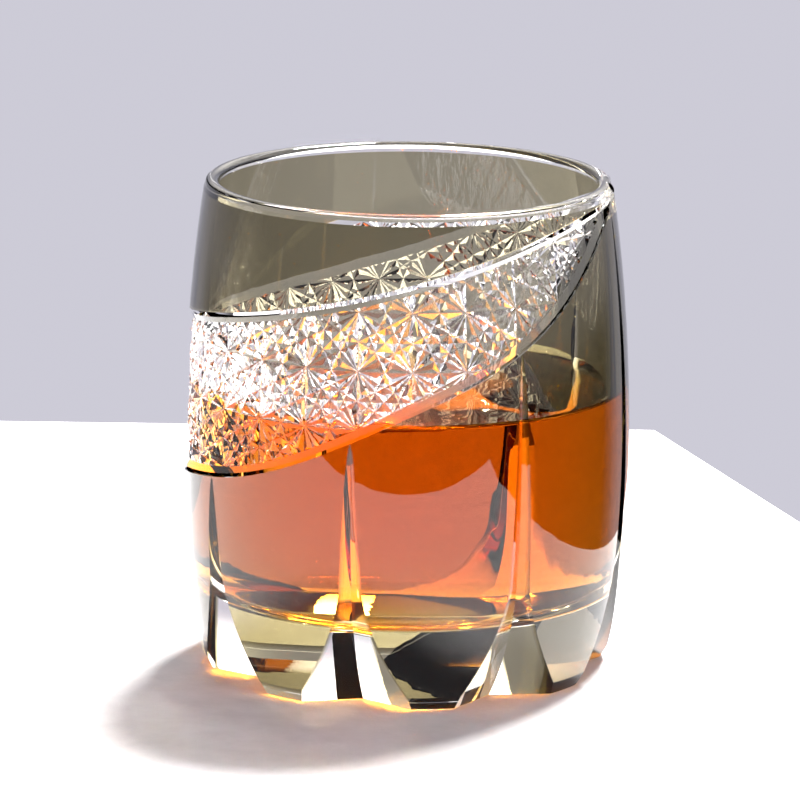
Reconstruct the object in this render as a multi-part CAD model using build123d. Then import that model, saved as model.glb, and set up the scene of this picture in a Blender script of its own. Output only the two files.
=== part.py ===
from build123d import *

import os
from math import cos, radians, sin, sqrt, tan

# Cut-crystal whiskey tumbler. Millimetres, +Z up, origin at the centre of the base, front facing -Y.
#
# A thick barrel of clear crystal carries a thin skin of smoke-coloured glass. The skin is ground away in a
# slanting band, between two V-shaped borders, and by eight needle cuts that widen into notches at the foot.
# What is left of the skin is one ring under the rim and eight petals. Whiskey fills the lower half of the
# bowl. Azimuth is measured from the front, -Y, towards +X, in degrees.

# Barrel: outer wall of two arcs that meet where the glass is widest
HEIGHT = 95.0
BELLY_RADIUS = 43.0
BELLY_Z = 43.0
OUTER_ARC_ABOVE = 340.0
OUTER_ARC_BELOW = 237.0
FOOT_RADIUS = 38.1
FOOT_CHAMFER_HEIGHT = 2.6

# Bowl: inner wall of two arcs, a rounded bottom corner and a flat floor
BOWL_RADIUS = 38.9
BOWL_Z = 52.0
INNER_ARC_ABOVE = 354.0
INNER_ARC_BELOW = 202.0
FLOOR_Z = 14.0
FLOOR_CORNER_RADIUS = 11.0
RIM_ROUNDING = 1.2
LIQUID_LEVEL = 54.0

# Smoke skin, outermost on the barrel
SKIN_THICKNESS = 0.4
SKIN_TOP = 93.0

# Band: heights of its upper and lower edges round the glass, as a mean and harmonics (cosine, sine)
UPPER_EDGE = (79.1, (4.8, 11.7), (-1.9, -0.3))
LOWER_EDGE = (57.0, (5.1, 23.6), (-5.8, 2.2), (-1.1, -3.8), (2.0, 0.8))
BORDER_HALF_WIDTH = 2.0
BORDER_DEPTH = 1.1
RING_STEP = 6

# Needle cuts: one every 45 degrees, each a V that narrows to a tip just under the band
NEEDLE_COUNT = 8
FIRST_NEEDLE_AZIMUTH = -14.2
NEEDLE_V_HALF_ANGLE = 65.0
NOTCH_HALF_WIDTH = 12.0
NEEDLE_HALF_WIDTH = 2.2
NOTCH_TOP_Z = 24.0
NOTCH_FLARE = 1.6
NEEDLE_TAPER = 0.6
NOTCH_STATIONS = 6
NEEDLE_STATIONS = 5

# Room that cutters take: past a surface, and below the base, where a needle's notch is a little wider
CLEARANCE = 3.0
BELOW_BASE = 1.0
WIDER_BELOW_BASE = 0.7


def edge_height(edge, azimuth):
    """Height of a band edge at an azimuth in degrees."""
    height = edge[0]
    for order, (cosine, sine) in enumerate(edge[1:], start=1):
        turn = radians(order * azimuth)
        height += cosine * cos(turn) + sine * sin(turn)
    return height


def outer_radius(z, inset=0.0):
    """Radius of the outer wall at height z, or of the curve parallel to it, inset inwards."""
    arc = (OUTER_ARC_ABOVE if z > BELLY_Z else OUTER_ARC_BELOW) - inset
    return BELLY_RADIUS - inset - arc + sqrt(arc**2 - (z - BELLY_Z) ** 2)


def bowl_radius(z):
    """Radius of the inner wall at height z, above the floor's rounded corner."""
    arc = INNER_ARC_ABOVE if z > BOWL_Z else INNER_ARC_BELOW
    return BOWL_RADIUS - arc + sqrt(arc**2 - (z - BOWL_Z) ** 2)


def wall_arc(radius_at, start, end):
    """Arc of a wall between two heights, in the section plane."""
    middle = (start + end) / 2
    return ThreePointArc(*((radius_at(z), z) for z in (start, middle, end)))


def spin(section):
    """Solid of revolution of a section drawn as (radius, height)."""
    return revolve(Plane.XZ * section, Axis.Z)


def corner_at(section, radius, z):
    """The section's vertex nearest to a point."""
    return section.vertices().sort_by_distance((radius, z, 0))[0]


def barrel_section():
    chamfer_radius = outer_radius(FOOT_CHAMFER_HEIGHT)
    outline = [
        Polyline((0, 0), (FOOT_RADIUS, 0), (chamfer_radius, FOOT_CHAMFER_HEIGHT)),
        wall_arc(outer_radius, FOOT_CHAMFER_HEIGHT, BELLY_Z),
        wall_arc(outer_radius, BELLY_Z, HEIGHT),
        Polyline((outer_radius(HEIGHT), HEIGHT), (0, HEIGHT), (0, 0)),
    ]
    return make_face(outline)


def bowl_section():
    """Hollow of the bowl, open through the rim."""
    outline = [
        Polyline((0, HEIGHT), (0, FLOOR_Z), (bowl_radius(FLOOR_Z), FLOOR_Z)),
        wall_arc(bowl_radius, FLOOR_Z, BOWL_Z),
        wall_arc(bowl_radius, BOWL_Z, HEIGHT),
        Line((bowl_radius(HEIGHT), HEIGHT), (0, HEIGHT)),
    ]
    section = make_face(outline)
    return fillet(corner_at(section, bowl_radius(FLOOR_Z), FLOOR_Z), FLOOR_CORNER_RADIUS)


def skin_section():
    """Region outside the crystal's own wall, up to the top of the skin."""
    def inner(z):
        return outer_radius(z, SKIN_THICKNESS)

    outside = BELLY_RADIUS + CLEARANCE
    bottom = -CLEARANCE
    top_corners = [(inner(SKIN_TOP), SKIN_TOP), (outside, SKIN_TOP)]
    bottom_corners = [(outside, bottom), (inner(bottom), bottom)]
    outline = [
        wall_arc(inner, bottom, BELLY_Z),
        wall_arc(inner, BELLY_Z, SKIN_TOP),
        Polyline(*top_corners, *bottom_corners),
    ]
    return make_face(outline)


def ring_of_sections(section_at):
    """Solid ring through the outline that section_at gives at each azimuth, as (radius, height) points."""
    def outline(azimuth):
        turn = radians(azimuth)
        points = [(r * sin(turn), -r * cos(turn), z) for r, z in section_at(azimuth)]
        return Wire.make_polygon([Vector(*point) for point in points], close=True)

    steps = range(0, 360, RING_STEP)
    segments = [Solid.make_loft([outline(a), outline(a + RING_STEP)], ruled=True) for a in steps]
    return segments[0].fuse(*segments[1:])


def band_window():
    """Everything between the two edges of the band, through the skin."""
    inside = FOOT_RADIUS - CLEARANCE
    outside = BELLY_RADIUS + CLEARANCE

    def section_at(azimuth):
        low = edge_height(LOWER_EDGE, azimuth)
        high = edge_height(UPPER_EDGE, azimuth)
        return [(inside, low), (outside, low), (outside, high), (inside, high)]

    return ring_of_sections(section_at)


def border_cutter(edge, side):
    """V-shaped ring along a band edge. Side is +1 where the band lies above the edge, -1 below it."""
    def section_at(azimuth):
        valley = edge_height(edge, azimuth) + side * BORDER_HALF_WIDTH
        surface = outer_radius(min(valley, HEIGHT))
        spread = BORDER_HALF_WIDTH * (1 + CLEARANCE / BORDER_DEPTH)
        outside = surface + CLEARANCE
        return [(surface - BORDER_DEPTH, valley), (outside, valley - spread), (outside, valley + spread)]

    return ring_of_sections(section_at)


def notch_half_width(z):
    """Half-width of the flared notch at the foot, narrowing to the needle's at NOTCH_TOP_Z."""
    rise = 1 - z / NOTCH_TOP_Z
    return NEEDLE_HALF_WIDTH + (NOTCH_HALF_WIDTH - NEEDLE_HALF_WIDTH) * max(rise, 0.0) ** NOTCH_FLARE


def needle_half_width(z, tip):
    """Half-width of the narrow part of a needle, which ends bluntly at its tip."""
    return NEEDLE_HALF_WIDTH * ((tip - z) / (tip - NOTCH_TOP_Z)) ** NEEDLE_TAPER


def needle_cutter(azimuth, tip):
    """V-shaped cut up the wall at an azimuth, from below the base to its tip."""
    slope = tan(radians(NEEDLE_V_HALF_ANGLE))
    stations = [(-BELOW_BASE, notch_half_width(0.0) + WIDER_BELOW_BASE)]
    for step in range(NOTCH_STATIONS):
        z = NOTCH_TOP_Z * step / NOTCH_STATIONS
        stations.append((z, notch_half_width(z)))
    for step in range(NEEDLE_STATIONS):
        z = NOTCH_TOP_Z + (tip - NOTCH_TOP_Z) * step / NEEDLE_STATIONS
        stations.append((z, needle_half_width(z, tip)))
    stations.append((tip, 0.0))
    sections = []
    for z, half_width in stations:
        surface = outer_radius(max(z, 0.0))
        mouth_radius = sqrt(surface**2 - half_width**2)
        valley_radius = mouth_radius - half_width / slope
        outside = BELLY_RADIUS + CLEARANCE
        spread = (outside - valley_radius) * slope
        corners = [(0.0, -valley_radius, z), (spread, -outside, z), (-spread, -outside, z)]
        sections.append(Wire.make_polygon([Vector(*corner) for corner in corners], close=True))
    return Solid.make_loft(sections, ruled=True).rotate(Axis.Z, azimuth)


def wedge(start, end):
    """Everything between two azimuths, out past the glass and over its full height."""
    reach = 2 * BELLY_RADIUS
    middle = (start + end) / 2
    corners = [(0, 0)]
    for azimuth in (start, middle, end):
        turn = radians(azimuth)
        corners.append((reach * sin(turn), -reach * cos(turn)))
    return extrude(make_face(Polyline(*corners, close=True)), HEIGHT)


def write(node, shape):
    shape.label = node
    export_step(shape, os.path.join("parts", node + ".step"))


os.makedirs("parts", exist_ok=True)

# Whole glass with its hollow and rounded rim, then the skin and the crystal as two solids of it
bowl = bowl_section()
glass = barrel_section() - bowl
rim_corners = [corner_at(glass, outer_radius(HEIGHT), HEIGHT), corner_at(glass, bowl_radius(HEIGHT), HEIGHT)]
glass = fillet(rim_corners, RIM_ROUNDING)
skin_region = skin_section()
skin = spin(glass & skin_region)
crystal = spin(glass - skin_region)

# Cutters
borders = [border_cutter(LOWER_EDGE, 1), border_cutter(UPPER_EDGE, -1)]
needle_azimuths = [FIRST_NEEDLE_AZIMUTH + 360 / NEEDLE_COUNT * k for k in range(NEEDLE_COUNT)]
needles = [needle_cutter(azimuth, edge_height(LOWER_EDGE, azimuth)) for azimuth in needle_azimuths]

# Crystal: V borders and needles cut into it
for cutter in borders + needles:
    crystal = crystal - cutter
write("crystal_body", crystal)

# Skin: the ring above the band, and the petals below it, each between two needles
lower_skin, upper_skin = (skin - band_window()).solids().sort_by(Axis.Z)
write("smoke_overlay_upper", upper_skin)
for k, azimuth in enumerate(needle_azimuths):
    petal = lower_skin & wedge(azimuth, azimuth + 360 / NEEDLE_COUNT)
    petal = petal - needles[k] - needles[(k + 1) % NEEDLE_COUNT]
    write(f"smoke_petal_{k + 1}", petal)

# Whiskey: the bowl up to the liquid's level
depth = LIQUID_LEVEL - FLOOR_Z
below_level = Pos(0, FLOOR_Z) * Rectangle(2 * BELLY_RADIUS, depth, align=(Align.CENTER, Align.MIN))
write("whiskey", spin(bowl & below_level))
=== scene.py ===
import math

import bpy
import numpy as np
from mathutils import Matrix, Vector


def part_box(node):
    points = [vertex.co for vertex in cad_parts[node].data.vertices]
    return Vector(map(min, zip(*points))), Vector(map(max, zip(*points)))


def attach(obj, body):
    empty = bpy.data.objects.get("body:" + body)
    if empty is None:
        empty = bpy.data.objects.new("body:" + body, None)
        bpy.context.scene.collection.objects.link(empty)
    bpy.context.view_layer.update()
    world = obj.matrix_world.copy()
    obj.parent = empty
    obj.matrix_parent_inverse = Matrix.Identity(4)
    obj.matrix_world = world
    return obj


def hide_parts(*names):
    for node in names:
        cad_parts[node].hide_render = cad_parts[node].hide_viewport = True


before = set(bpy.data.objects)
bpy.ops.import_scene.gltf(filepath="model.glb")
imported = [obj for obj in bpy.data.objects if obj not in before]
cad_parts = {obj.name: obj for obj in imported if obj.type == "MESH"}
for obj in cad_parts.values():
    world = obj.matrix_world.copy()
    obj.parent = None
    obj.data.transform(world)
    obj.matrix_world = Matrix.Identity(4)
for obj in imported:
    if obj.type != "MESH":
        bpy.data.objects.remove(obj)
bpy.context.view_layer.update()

# Looks of a cut-crystal whiskey tumbler: a thick clear crystal, a smoke-coloured skin and the whiskey in it.
#
# Lengths are in millimetres until a mesh is made, and azimuth is measured from the front, -Y, towards +X.
# Every boundary between two clear materials has its own relative index of refraction, so that light crosses
# crystal, skin and whiskey as it does where they touch, although the meshes have a hair's gap between them.

MM = 0.001

# ---- Shape, as in the CAD model ----
FOOT_RADIUS = 38.1
FOOT_CHAMFER_HEIGHT = 2.6
BELLY_RADIUS = 43.0
BELLY_Z = 43.0
OUTER_ARCS = (237.0, 340.0)
BOWL_RADIUS = 38.9
BOWL_Z = 52.0
INNER_ARCS = (202.0, 354.0)
FLOOR_CORNER_RADIUS = 11.0
RIM_ROUNDING = 1.2
SKIN_THICKNESS = 0.4
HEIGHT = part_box("crystal_body")[1].z / MM
SKIN_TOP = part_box("smoke_overlay_upper")[1].z / MM
FLOOR_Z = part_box("whiskey")[0].z / MM
LIQUID_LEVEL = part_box("whiskey")[1].z / MM

UPPER_EDGE = (79.1, (4.8, 11.7), (-1.9, -0.3))
LOWER_EDGE = (57.0, (5.1, 23.6), (-5.8, 2.2), (-1.1, -3.8), (2.0, 0.8))
BORDER_HALF_WIDTH = 2.0
BORDER_DEPTH = 1.1
BORDER_STEP = 0.5

NEEDLE_COUNT = 8
FIRST_NEEDLE_AZIMUTH = -14.2
NEEDLE_V_HALF_ANGLE = 65.0
NOTCH_HALF_WIDTH = 12.0
NEEDLE_HALF_WIDTH = 2.2
NOTCH_TOP_Z = 24.0
NOTCH_FLARE = 1.6
NEEDLE_TAPER = 0.6
BELOW_BASE = 1.0

# ---- Fine detail, in the meshes only ----
STAR_COLUMNS = 25
FIRST_STAR_AZIMUTH = 1.4
STAR_ROWS = 6
LOWEST_STAR_Z = 32.2
STAR_PITCH = 11.15
STAR_DEPTH = 0.8
STAR_V_HALF_ANGLE = 60.0
GROOVE_NORMALS = ((1, 0), (0, 1), (1, 1), (1, -1), (2, 1), (2, -1), (1, 2), (1, -2))
BAND_RECESS = 0.05
MENISCUS_HEIGHT = 1.4
MENISCUS_REACH = 4.4
MENISCUS_DECAY = 4.5
GAP = 0.015
SEGMENTS = 360
CLEARANCE = 3.0
SHARP_ANGLE = 14.0
WET_LINE = LIQUID_LEVEL + MENISCUS_HEIGHT

# ---- Glass and liquid ----
INDEX_ATTRIBUTE = "relative_index"
GLASS_INDEX = 1.52
WHISKEY_INDEX = 1.36
SAME_INDEX = 1.0
TOUCH = 0.02
SEAM_ANGLE = 0.02
SMOKE_COLOUR = (0.42, 0.36, 0.10)
SMOKE_DENSITY = 3500.0
AMBER_COLOUR = (0.958, 0.68, 0.0)
AMBER_DENSITY = 90.0

# Waviness: size of the grain along x, y and z, and its height
CRYSTAL_GRAIN = (7.0, 7.0, 14.0)
CRYSTAL_WAVES = 0.02
SMOKE_GRAIN = (5.0, 5.0, 60.0)
SMOKE_WAVES = 0.06
WHISKEY_GRAIN = (9.0, 9.0, 5.0)
WHISKEY_WAVES = 0.12

# ---- Studio ----
TABLE_CORNERS = ((-900.0, 216.0), (-900.0, -218.0), (180.0, -218.0), (84.0, 111.0), (56.0, 197.0))
TABLE_THICKNESS = 4.0
TABLE_GAP = 0.1
TABLE_DARK = (0.38, 0.38, 0.39)
TABLE_LIGHT = (0.52, 0.52, 0.53)
TABLE_GRAIN = (6.0, 6.0, 6.0)
TABLE_WAVES = 0.35
BACKDROP_COLOUR = (0.61, 0.60, 0.68)
CEILING_COLOUR = (3.4, 3.25, 3.05)
CEILING_LEFT_COLOUR = (0.85, 0.78, 0.68)
CEILING_LEFT_RANGE = (-0.55, 0.05)
CEILING_RANGE = (0.12, 0.42)
FLOOR_COLOUR = (0.01, 0.01, 0.012)
FLOOR_THROUGH_GLASS = (0.12, 0.115, 0.12)
FLOOR_RANGE = (-0.16, -0.08)
BACK_RANGE = (0.5, 0.8)
KEY_DIRECTION = (0.25, 0.505, 1.0)
KEY_DISTANCE = 1.6
KEY_SIZE = 0.45
KEY_POWER = 190.0
KEY_COLOUR = (1.0, 0.98, 0.95)
KEY_TARGET = (0.0, 0.0, 0.03)

# ---- Camera, in metres and degrees ----
CAMERA_PLACE = (0.0, -1.1568, 0.3148)
CAMERA_YAW = 0.065
CAMERA_PITCH = 12.835
CAMERA_ROLL = 0.526
CAMERA_LENS = 276.7
SENSOR_WIDTH = 36.0


def edge_height(edge, azimuth):
    """Height of a band edge at azimuths in degrees: a mean and harmonics (cosine, sine)."""
    height = edge[0] + 0.0 * np.asarray(azimuth, float)
    for order, (cosine, sine) in enumerate(edge[1:], start=1):
        turn = np.radians(order * np.asarray(azimuth, float))
        height = height + cosine * np.cos(turn) + sine * np.sin(turn)
    return height


def two_arcs(z, widest, widest_z, arcs, inset=0.0):
    """Radius at height z of a wall of two arcs that meet at its widest point, or of the wall inset."""
    z = np.asarray(z, float)
    arc = np.where(z > widest_z, arcs[1], arcs[0]) - inset
    return widest - inset - arc + np.sqrt(arc**2 - (z - widest_z) ** 2)


def outer_radius(z, inset=0.0):
    return two_arcs(z, BELLY_RADIUS, BELLY_Z, OUTER_ARCS, inset)


def bowl_radius(z, inset=0.0):
    return two_arcs(z, BOWL_RADIUS, BOWL_Z, INNER_ARCS, inset)


# ---- Outlines for the solids of revolution, as (radius, height) ----

def wall(radius_at, start, end, step=1.5):
    """Points up or down a wall between two heights, both included."""
    count = max(2, int(abs(end - start) / step) + 1)
    heights = np.linspace(start, end, count)
    return [(float(radius_at(z)), float(z)) for z in heights]


def corner(centre, radius, start, end, count=8):
    """Points on a circle from one angle to another, in degrees from the outward direction."""
    turns = np.radians(np.linspace(start, end, count))
    return [(centre[0] + radius * math.cos(t), centre[1] + radius * math.sin(t)) for t in turns]


def chamfer_crossing(inset):
    """Point where the wall inset by that much meets the chamfer of the foot."""
    slope = (float(outer_radius(FOOT_CHAMFER_HEIGHT)) - FOOT_RADIUS) / FOOT_CHAMFER_HEIGHT
    heights = np.linspace(0.0, FOOT_CHAMFER_HEIGHT, 2001)
    z = float(heights[np.abs(FOOT_RADIUS + slope * heights - outer_radius(heights, inset)).argmin()])
    return float(outer_radius(z, inset)), z


def bowl_outline(inset, top):
    """Inner wall from a height down to the floor's middle, or the parallel outline inset into the bowl."""
    radius = FLOOR_CORNER_RADIUS - inset
    centre_z = FLOOR_Z + FLOOR_CORNER_RADIUS
    arc = INNER_ARCS[0]
    arc_centre = BOWL_RADIUS - arc
    rise = BOWL_Z - centre_z
    centre_r = arc_centre + math.sqrt((arc - FLOOR_CORNER_RADIUS) ** 2 - rise**2)
    start = -math.degrees(math.asin(rise / (arc - FLOOR_CORNER_RADIUS)))
    rounded = corner((centre_r, centre_z), radius, start, -90.0, count=14)
    upright = wall(lambda z: bowl_radius(z, inset), top, rounded[0][1])
    return upright[:-1] + rounded + [(0.0, FLOOR_Z + inset)]


def crystal_outline(wet_line):
    """Foot, outer wall under the skin, clear rim, inner wall and floor, with a point at the wet line."""
    def inner(z):
        return outer_radius(z, SKIN_THICKNESS)

    rim_outer = (float(outer_radius(HEIGHT)) - RIM_ROUNDING, HEIGHT - RIM_ROUNDING)
    rim_inner = (float(bowl_radius(HEIGHT)) + RIM_ROUNDING, HEIGHT - RIM_ROUNDING)
    foot = chamfer_crossing(SKIN_THICKNESS)
    outline = [(0.0, 0.0), (FOOT_RADIUS, 0.0)]
    outline += wall(inner, foot[1], SKIN_TOP)
    outline += [(float(outer_radius(SKIN_TOP)), SKIN_TOP)]
    outline += corner(rim_outer, RIM_ROUNDING, 0.0, 90.0)
    outline += corner(rim_inner, RIM_ROUNDING, 90.0, 180.0)
    outline += wall(bowl_radius, HEIGHT - RIM_ROUNDING - 0.5, wet_line)[:-1]
    return outline + bowl_outline(0.0, wet_line)


def skin_outline():
    def inner(z):
        return outer_radius(z, SKIN_THICKNESS - GAP)

    foot = chamfer_crossing(SKIN_THICKNESS - GAP)
    outside = wall(outer_radius, FOOT_CHAMFER_HEIGHT, SKIN_TOP - GAP)
    inside = wall(inner, SKIN_TOP - GAP, foot[1])
    return outside + inside


def whiskey_outline():
    """Bowl up to the meniscus, and the liquid's surface back to the axis."""
    down = bowl_outline(GAP, WET_LINE)[::-1]
    reach = np.linspace(0.0, 1.0, 12)[1:]
    rim = float(bowl_radius(WET_LINE, GAP))
    rise = [MENISCUS_HEIGHT * math.exp(-MENISCUS_DECAY * r) for r in reach]
    surface = [(rim - MENISCUS_REACH * r, LIQUID_LEVEL + h) for r, h in zip(reach, rise)]
    return down + surface + [(0.0, LIQUID_LEVEL)]


# ---- Meshes ----

def new_object(name, vertices, faces):
    """Mesh object from points in millimetres."""
    mesh = bpy.data.meshes.new(name)
    mesh.from_pydata((np.asarray(vertices) * MM).tolist(), [], faces)
    mesh.validate()
    made = bpy.data.objects.new(name, mesh)
    bpy.context.scene.collection.objects.link(made)
    return made


def around(radius, azimuth, z):
    """Points at radii, azimuths in degrees and heights, as rows of (x, y, z)."""
    turn = np.radians(azimuth)
    return np.stack([radius * np.sin(turn), -radius * np.cos(turn), z + 0.0 * turn], axis=-1)


def lathe(name, outline):
    """Solid of revolution of an outline with the solid on its left. It may start and end on the axis."""
    azimuths = np.arange(SEGMENTS) * 360.0 / SEGMENTS
    on_axis = outline[0][0] == 0.0
    rings = outline[1:-1] if on_axis else outline
    vertices = [around(r, azimuths, z) for r, z in rings]
    count = len(rings)
    faces = []
    for i in range(count - 1 if on_axis else count):
        low, high = i * SEGMENTS, ((i + 1) % count) * SEGMENTS
        for k in range(SEGMENTS):
            j = (k + 1) % SEGMENTS
            faces.append((low + k, low + j, high + j, high + k))
    if on_axis:
        vertices += [np.array([[0.0, 0.0, outline[0][1]], [0.0, 0.0, outline[-1][1]]])]
        bottom, top = count * SEGMENTS, count * SEGMENTS + 1
        last = (count - 1) * SEGMENTS
        for k in range(SEGMENTS):
            j = (k + 1) % SEGMENTS
            faces.append((bottom, j, k))
            faces.append((top, last + k, last + j))
    return new_object(name, np.concatenate(vertices), faces)


def tube(name, sections, closed):
    """Solid through sections that all have the same number of points, in a ring or with flat ends."""
    sections = np.asarray(sections)
    count, points = sections.shape[:2]
    faces = []
    for i in range(count if closed else count - 1):
        low, high = i * points, ((i + 1) % count) * points
        for k in range(points):
            j = (k + 1) % points
            faces.append((low + k, low + j, high + j, high + k))
    if not closed:
        faces.append(tuple(range(points))[::-1])
        faces.append(tuple(range((count - 1) * points, count * points)))
    return new_object(name, sections.reshape(-1, 3), faces)


def ring_block(name, low, high, start=0.0, end=360.0):
    """Block through the wall between two heights, functions of azimuth, all round or in part."""
    closed = end - start >= 360.0
    azimuths = np.linspace(start, end, int(end - start) + 1)
    inside, outside = FOOT_RADIUS / 2, BELLY_RADIUS + CLEARANCE
    bottom, top = low(azimuths), high(azimuths)
    corners = [(inside, bottom), (inside, top), (outside, top), (outside, bottom)]
    sections = np.stack([around(r, azimuths, z) for r, z in corners], axis=1)
    return tube(name, sections[:-1] if closed else sections, closed)


def border_cutter(name, edge, side):
    """V-shaped ring just inside a band edge. Side is +1 with the band above the edge, -1 below it."""
    azimuths = np.arange(0.0, 360.0, BORDER_STEP)
    valley = edge_height(edge, azimuths) + side * BORDER_HALF_WIDTH
    surface = outer_radius(np.minimum(valley, HEIGHT))
    spread = BORDER_HALF_WIDTH * (1 + CLEARANCE / BORDER_DEPTH)
    corners = [(surface - BORDER_DEPTH, valley), (surface + CLEARANCE, valley + spread),
               (surface + CLEARANCE, valley - spread)]
    return tube(name, np.stack([around(r, azimuths, z) for r, z in corners], axis=1), closed=True)


def needle_half_width(z, tip):
    """Half-width of a needle cut: a wide notch at the foot, then a slender V to a blunt tip."""
    notch = (NOTCH_HALF_WIDTH - NEEDLE_HALF_WIDTH) * np.clip(1 - z / NOTCH_TOP_Z, 0.0, None) ** NOTCH_FLARE
    slender = np.clip((tip - z) / (tip - NOTCH_TOP_Z), 0.0, 1.0) ** NEEDLE_TAPER
    return notch + NEEDLE_HALF_WIDTH * slender


def needle_cutter(name, azimuth, tip):
    slope = math.tan(math.radians(NEEDLE_V_HALF_ANGLE))
    notch_heights = np.linspace(0.0, NOTCH_TOP_Z, 25)
    slender_heights = np.linspace(NOTCH_TOP_Z, tip, 21)[1:]
    heights = np.concatenate([[-BELOW_BASE], notch_heights, slender_heights])
    half_width = needle_half_width(heights, tip)
    surface = outer_radius(np.maximum(heights, 0.0))
    valley = np.sqrt(surface**2 - half_width**2) - half_width / slope
    outside = BELLY_RADIUS + CLEARANCE
    spread = (outside - valley) * slope
    turn = math.radians(azimuth)
    forward = np.array([math.sin(turn), -math.cos(turn), 0.0])
    sideways = np.array([math.cos(turn), math.sin(turn), 0.0])
    up = np.array([0.0, 0.0, 1.0])
    corners = [(valley, 0.0), (outside, -spread), (outside, spread)]
    sections = [[r[i] * forward + s[i] * sideways + z * up for r, s in
                 [(np.broadcast_to(a, heights.shape), np.broadcast_to(b, heights.shape)) for a, b in corners]]
                for i, z in enumerate(heights)]
    return tube(name, sections, closed=False)


def clip(polygon, normal, offset):
    """Part of a convex polygon where normal . point <= offset."""
    side = polygon @ normal - offset
    kept = []
    for i, (point, value) in enumerate(zip(polygon, side)):
        before, value_before = polygon[i - 1], side[i - 1]
        if (value <= 0) != (value_before <= 0):
            kept.append(before + (point - before) * value_before / (value_before - value))
        if value <= 0:
            kept.append(point)
    return np.array(kept)


def area(polygon):
    x, y = polygon[:, 0], polygon[:, 1]
    return 0.5 * abs(x @ np.roll(y, -1) - y @ np.roll(x, -1))


def star_cell():
    """Flat facets of one cell of the star pattern, with star centres at its corners, and their depths.

    V grooves in eight directions run through the star centres. A facet is the part of the unit cell
    where one side of one groove is deeper than all others."""
    column_width = math.radians(360.0 / STAR_COLUMNS) * BELLY_RADIUS
    fall = 1.0 / math.tan(math.radians(STAR_V_HALF_ANGLE))
    lines = []
    for a, b in GROOVE_NORMALS:
        length = math.hypot(a / column_width, b / STAR_PITCH)
        lows, highs = min(0, a) + min(0, b), max(0, a) + max(0, b)
        lines += [(np.array([a, b], float), k, fall / length) for k in range(lows, highs + 1)]
    tiles = [np.array([[0, 0], [1, 0], [1, 1], [0, 1]], float)]
    smallest = 1e-6
    for normal, k, _ in lines:
        halves = [clip(t, sign * normal, sign * k) for t in tiles for sign in (1, -1)]
        tiles = [h for h in halves if len(h) > 2 and area(h) > smallest]
    facets = []
    for tile in tiles:
        middle = tile.mean(axis=0)
        planes = [(np.zeros(2), 0.0)]
        for normal, k, steepness in lines:
            sign = 1.0 if middle @ normal > k else -1.0
            planes.append((-sign * steepness * normal, STAR_DEPTH + sign * steepness * k))
        for gradient, level in planes:
            facet = tile
            for other_gradient, other_level in planes:
                if len(facet) > 2 and other_gradient is not gradient:
                    facet = clip(facet, other_gradient - gradient, level - other_level)
            if len(facet) > 2 and area(facet) > smallest:
                facets.append((facet, facet @ gradient + level))
    return facets


def star_cutter(name):
    """Block outside the wall whose inner side is the star relief, all the way round."""
    indices, points, faces = {}, [], []

    def vertex(u, v, depth):
        u = u % STAR_COLUMNS
        key = (round(u, 4) % STAR_COLUMNS, round(v, 4))
        if key not in indices:
            indices[key] = len(points)
            z = LOWEST_STAR_Z + STAR_PITCH * v
            radius = outer_radius(z, SKIN_THICKNESS + BAND_RECESS) - depth
            points.append(around(radius, FIRST_STAR_AZIMUTH + 360.0 / STAR_COLUMNS * u, z))
        return indices[key]

    cell = star_cell()
    for column in range(STAR_COLUMNS):
        for row in range(STAR_ROWS):
            for facet, depths in cell:
                loop = [vertex(column + u, row + v, d) for (u, v), d in zip(facet, depths)]
                loop = [p for i, p in enumerate(loop) if p != loop[i - 1]]
                if len(loop) > 2:
                    faces.append(loop[::-1])
    outside = BELLY_RADIUS + CLEARANCE
    ends = []
    for v in (0, STAR_ROWS):
        ring = [key for key in sorted(indices) if key[1] == v]
        inner = [indices[key] for key in ring]
        outer = list(range(len(points), len(points) + len(ring)))
        azimuths = [FIRST_STAR_AZIMUTH + 360.0 / STAR_COLUMNS * u for u, _ in ring]
        points += [around(outside, a, LOWEST_STAR_Z + STAR_PITCH * v) for a in azimuths]
        ends.append((inner, outer))
    (low_inner, low_outer), (high_inner, high_outer) = ends
    for i in range(len(low_inner)):
        j = (i + 1) % len(low_inner)
        faces.append((low_inner[i], low_inner[j], low_outer[j], low_outer[i]))
        faces.append((low_outer[i], low_outer[j], high_outer[j], high_outer[i]))
        faces.append((high_outer[i], high_outer[j], high_inner[j], high_inner[i]))
    return new_object(name, np.array(points), faces)


def combine(target, other, operation):
    """Boolean of two solids: the target keeps the result and the other is removed."""
    modifier = target.modifiers.new("cut", "BOOLEAN")
    modifier.solver = "MANIFOLD"
    modifier.operation = operation
    modifier.object = other
    shown = target.evaluated_get(bpy.context.evaluated_depsgraph_get())
    result = bpy.data.meshes.new_from_object(shown)
    target.modifiers.clear()
    target.data = result
    bpy.data.objects.remove(other)
    return target


# ---- Materials: one per kind of glass, with its index set face by face ----

def noise_bump(nodes, links, shader, grain, detail, height):
    """Bump from noise whose grain is a size in millimetres along x, y and z."""
    place = nodes.new("ShaderNodeTexCoord")
    stretch = nodes.new("ShaderNodeMapping")
    stretch.inputs["Scale"].default_value = tuple(1.0 / (size * MM) for size in grain)
    noise = nodes.new("ShaderNodeTexNoise")
    noise.inputs["Scale"].default_value = 1.0
    noise.inputs["Detail"].default_value = detail
    bump = nodes.new("ShaderNodeBump")
    bump.inputs["Distance"].default_value = height * MM
    links.new(place.outputs["Object"], stretch.inputs["Vector"])
    links.new(stretch.outputs["Vector"], noise.inputs["Vector"])
    links.new(noise.outputs["Fac"], bump.inputs["Height"])
    links.new(bump.outputs["Normal"], shader.inputs["Normal"])
    return noise


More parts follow.
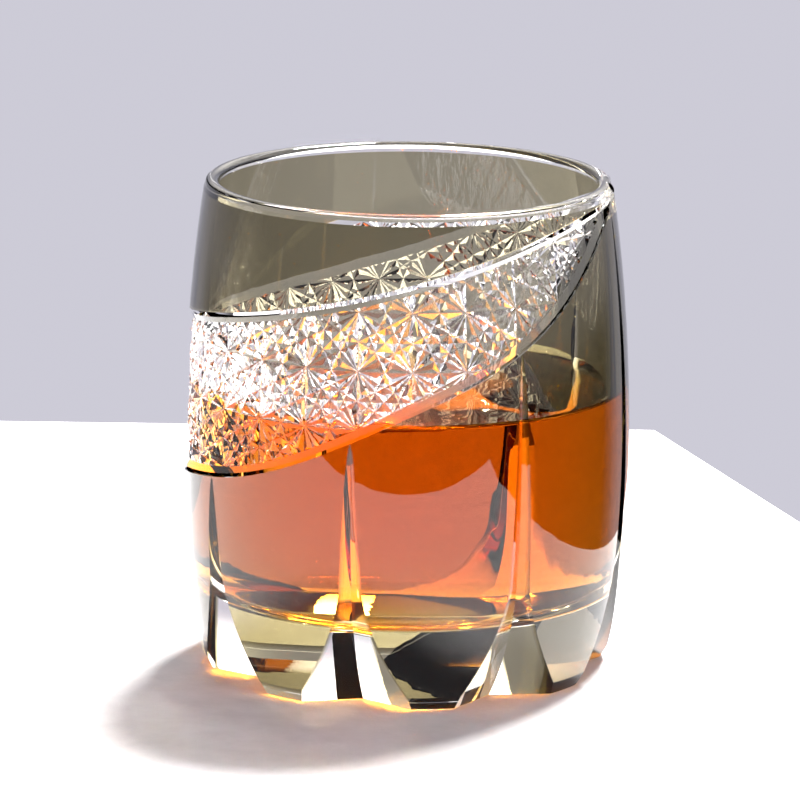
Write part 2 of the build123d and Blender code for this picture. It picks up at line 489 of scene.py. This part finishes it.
def clear_material(name, grain, height, absorbs=None, density=0.0):
    """Clear refracting material, faintly wavy. Each face's relative index comes from the mesh."""
    material = bpy.data.materials.new(name)
    material.use_nodes = True
    nodes, links = material.node_tree.nodes, material.node_tree.links
    shader = nodes["Principled BSDF"]
    shader.inputs["Base Color"].default_value = (1.0, 1.0, 1.0, 1.0)
    shader.inputs["Transmission Weight"].default_value = 1.0
    shader.inputs["Roughness"].default_value = 0.0
    noise_bump(nodes, links, shader, grain, 1.0, height)
    index = nodes.new("ShaderNodeAttribute")
    index.attribute_name = INDEX_ATTRIBUTE
    links.new(index.outputs["Fac"], shader.inputs["IOR"])
    if absorbs is not None:
        volume = nodes.new("ShaderNodeVolumeAbsorption")
        volume.inputs["Color"].default_value = (*absorbs, 1.0)
        volume.inputs["Density"].default_value = density
        links.new(volume.outputs["Volume"], nodes["Material Output"].inputs["Volume"])
    return material


def set_index(piece, index_at):
    """Stores each face's relative index of refraction, from the face's centre in millimetres."""
    mesh = piece.data
    count = len(mesh.polygons)
    centres, normals = np.empty(count * 3), np.empty(count * 3)
    mesh.polygons.foreach_get("center", centres)
    mesh.polygons.foreach_get("normal", normals)
    x, y, z = centres.reshape(-1, 3).T / MM
    values = index_at(np.hypot(x, y), np.degrees(np.arctan2(x, -y)), z, normals.reshape(-1, 3))
    attribute = mesh.attributes.new(INDEX_ATTRIBUTE, "FLOAT", "FACE")
    attribute.data.foreach_set("value", values.astype(np.float32))


def crystal_index(r, azimuth, z, normals):
    in_bowl = (r < bowl_radius(z) + TOUCH) & (z > FLOOR_Z - TOUCH)
    under_skin = (np.abs(r - outer_radius(z, SKIN_THICKNESS)) < TOUCH) | (np.abs(z - SKIN_TOP) < TOUCH)
    values = np.where(under_skin & ~in_bowl, SAME_INDEX, GLASS_INDEX)
    return np.where(in_bowl & (z < WET_LINE), GLASS_INDEX / WHISKEY_INDEX, values)


def skin_index(r, azimuth, z, normals):
    on_crystal = np.abs(r - outer_radius(z, SKIN_THICKNESS - GAP)) < TOUCH / 2
    on_ledge = np.abs(z - SKIN_TOP) < 2 * TOUCH
    pitch = 360 / NEEDLE_COUNT
    from_needle = (azimuth - FIRST_NEEDLE_AZIMUTH + pitch / 2) % pitch - pitch / 2
    on_seam = np.abs(from_needle) < SEAM_ANGLE
    return np.where(on_crystal | on_ledge | on_seam, SAME_INDEX, GLASS_INDEX)


def whiskey_index(r, azimuth, z, normals):
    at_surface = (z > LIQUID_LEVEL - TOUCH) & (r < bowl_radius(z, GAP) - TOUCH)
    return np.where(at_surface, WHISKEY_INDEX, SAME_INDEX)


def finish_piece(piece, nodes, material, index_at):
    """Shading, material and place in the frame of one piece."""
    set_index(piece, index_at)
    piece.data.materials.clear()
    piece.data.materials.append(material)
    piece.data.polygons.foreach_set("material_index", np.zeros(len(piece.data.polygons), np.int32))
    piece.data.shade_smooth()
    piece.data.set_sharp_from_angle(angle=math.radians(SHARP_ANGLE))
    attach(piece, "root")
    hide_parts(*nodes)


# ---- The pieces ----
crystal_glass = clear_material("clear_crystal", CRYSTAL_GRAIN, CRYSTAL_WAVES)
smoke_glass = clear_material("smoke_glass", SMOKE_GRAIN, SMOKE_WAVES, SMOKE_COLOUR, SMOKE_DENSITY)
amber_liquid = clear_material("whiskey", WHISKEY_GRAIN, WHISKEY_WAVES, AMBER_COLOUR, AMBER_DENSITY)

needle_azimuths = [FIRST_NEEDLE_AZIMUTH + 360.0 / NEEDLE_COUNT * k for k in range(NEEDLE_COUNT)]


def needle(k):
    azimuth = needle_azimuths[k % NEEDLE_COUNT]
    return needle_cutter("needle", azimuth, float(edge_height(LOWER_EDGE, azimuth)))


crystal = lathe("crystal", crystal_outline(WET_LINE))
stars = combine(star_cutter("stars"), ring_block(
    "window", lambda a: edge_height(LOWER_EDGE, a) + BORDER_HALF_WIDTH,
    lambda a: edge_height(UPPER_EDGE, a) - BORDER_HALF_WIDTH), "INTERSECT")
combine(crystal, stars, "DIFFERENCE")
for edge, side in ((LOWER_EDGE, 1), (UPPER_EDGE, -1)):
    combine(crystal, border_cutter("border", edge, side), "DIFFERENCE")
for k in range(NEEDLE_COUNT):
    combine(crystal, needle(k), "DIFFERENCE")
finish_piece(crystal, ["crystal_body"], crystal_glass, crystal_index)

upper_skin = lathe("upper_skin", skin_outline())
combine(upper_skin, ring_block(
    "above", lambda a: edge_height(UPPER_EDGE, a), lambda a: HEIGHT + 0.0 * a), "INTERSECT")
finish_piece(upper_skin, ["smoke_overlay_upper"], smoke_glass, skin_index)

for k, azimuth in enumerate(needle_azimuths):
    petal = lathe(f"petal_{k + 1}", skin_outline())
    combine(petal, ring_block("sector", lambda a: 0.0 * a - CLEARANCE, lambda a: edge_height(LOWER_EDGE, a),
                              azimuth, azimuth + 360.0 / NEEDLE_COUNT), "INTERSECT")
    for neighbour in (k, k + 1):
        combine(petal, needle(neighbour), "DIFFERENCE")
    finish_piece(petal, [f"smoke_petal_{k + 1}"], smoke_glass, skin_index)

whiskey = lathe("liquid", whiskey_outline())
finish_piece(whiskey, ["whiskey"], amber_liquid, whiskey_index)

# ---- Studio ----


def table_material():
    """Pale matt table with a faint grain."""
    material = bpy.data.materials.new("table")
    material.use_nodes = True
    nodes, links = material.node_tree.nodes, material.node_tree.links
    shader = nodes["Principled BSDF"]
    shader.inputs["Roughness"].default_value = 0.6
    noise = noise_bump(nodes, links, shader, TABLE_GRAIN, 6.0, TABLE_WAVES)
    shade = nodes.new("ShaderNodeValToRGB")
    for element, colour in zip(shade.color_ramp.elements, (TABLE_DARK, TABLE_LIGHT)):
        element.color = (*colour, 1.0)
    links.new(noise.outputs["Fac"], shade.inputs["Fac"])
    links.new(shade.outputs["Color"], shader.inputs["Base Color"])
    return material


def table_top():
    corners = TABLE_CORNERS
    top = [(x, y, -TABLE_GAP) for x, y in corners]
    bottom = [(x, y, -TABLE_THICKNESS) for x, y in corners]
    count = len(corners)
    faces = [tuple(range(count)), tuple(range(count, 2 * count))[::-1]]
    faces += [(i, i + count, (i + 1) % count + count, (i + 1) % count) for i in range(count)]
    return new_object("table", np.array(top + bottom), faces)


def area_light(name, place, target, size, power, colour):
    data = bpy.data.lights.new(name, "AREA")
    data.shape = "DISK"
    data.size = size
    data.energy = power
    data.color = colour
    lamp = bpy.data.objects.new(name, data)
    bpy.context.scene.collection.objects.link(lamp)
    lamp.location = place
    lamp.rotation_euler = (Vector(target) - Vector(place)).to_track_quat("-Z", "Y").to_euler()
    return lamp


table = table_top()
table.data.materials.append(table_material())


def studio_world():
    """Plain backdrop with a soft bright ceiling. Low down in front, what the glass sees is dim.

    The camera and the table's own shading see the backdrop's colour everywhere."""
    made = bpy.data.worlds.new("studio")
    made.use_nodes = True
    nodes, links = made.node_tree.nodes, made.node_tree.links
    direction = nodes.new("ShaderNodeTexCoord")
    split = nodes.new("ShaderNodeSeparateXYZ")
    links.new(direction.outputs["Generated"], split.inputs["Vector"])

    def ramp(axis, start, end):
        node = nodes.new("ShaderNodeMapRange")
        node.interpolation_type = "SMOOTHSTEP"
        node.inputs["From Min"].default_value = start
        node.inputs["From Max"].default_value = end
        links.new(split.outputs[axis], node.inputs["Value"])
        return node.outputs["Result"]

    def mix(factor, first, second):
        node = nodes.new("ShaderNodeMix")
        node.data_type = "RGBA"
        links.new(factor, node.inputs["Factor"])
        for socket, colour in (("A", first), ("B", second)):
            slot = next(i for i in node.inputs if i.name == socket and i.type == "RGBA")
            if isinstance(colour, tuple):
                slot.default_value = (*colour, 1.0)
            else:
                links.new(colour, slot)
        return next(o for o in node.outputs if o.type == "RGBA")

    path = nodes.new("ShaderNodeLightPath")
    front_floor = mix(path.outputs["Is Transmission Ray"], FLOOR_COLOUR, FLOOR_THROUGH_GLASS)
    floor = mix(ramp("Y", *BACK_RANGE), front_floor, BACKDROP_COLOUR)
    wall_and_floor = mix(ramp("Z", *FLOOR_RANGE), floor, BACKDROP_COLOUR)
    ceiling = mix(ramp("X", *CEILING_LEFT_RANGE), CEILING_LEFT_COLOUR, CEILING_COLOUR)
    around_glass = mix(ramp("Z", *CEILING_RANGE), wall_and_floor, ceiling)
    lighting = mix(path.outputs["Is Diffuse Ray"], around_glass, BACKDROP_COLOUR)
    shown = mix(path.outputs["Is Camera Ray"], lighting, BACKDROP_COLOUR)
    links.new(shown, nodes["Background"].inputs["Color"])
    return made


bpy.context.scene.world = studio_world()

toward_key = Vector(KEY_DIRECTION).normalized()
area_light("key", toward_key * KEY_DISTANCE, KEY_TARGET, KEY_SIZE, KEY_POWER, KEY_COLOUR)

camera_data = bpy.data.cameras.new("camera")
camera_data.lens = CAMERA_LENS
camera_data.sensor_width = SENSOR_WIDTH
camera = bpy.data.objects.new("camera", camera_data)
bpy.context.scene.collection.objects.link(camera)
camera.matrix_world = (Matrix.Translation(CAMERA_PLACE)
                       @ Matrix.Rotation(math.radians(CAMERA_YAW), 4, "Z")
                       @ Matrix.Rotation(math.radians(90.0 - CAMERA_PITCH), 4, "X")
                       @ Matrix.Rotation(math.radians(CAMERA_ROLL), 4, "Z"))
bpy.context.scene.camera = camera

scene = bpy.context.scene
scene.view_settings.view_transform = "Standard"
scene.cycles.use_denoising = True
scene.cycles.max_bounces = 40
scene.cycles.transmission_bounces = 40
scene.cycles.glossy_bounces = 12
scene.cycles.transparent_max_bounces = 16
scene.cycles.sample_clamp_indirect = 0.0
scene.cycles.blur_glossy = 0.0
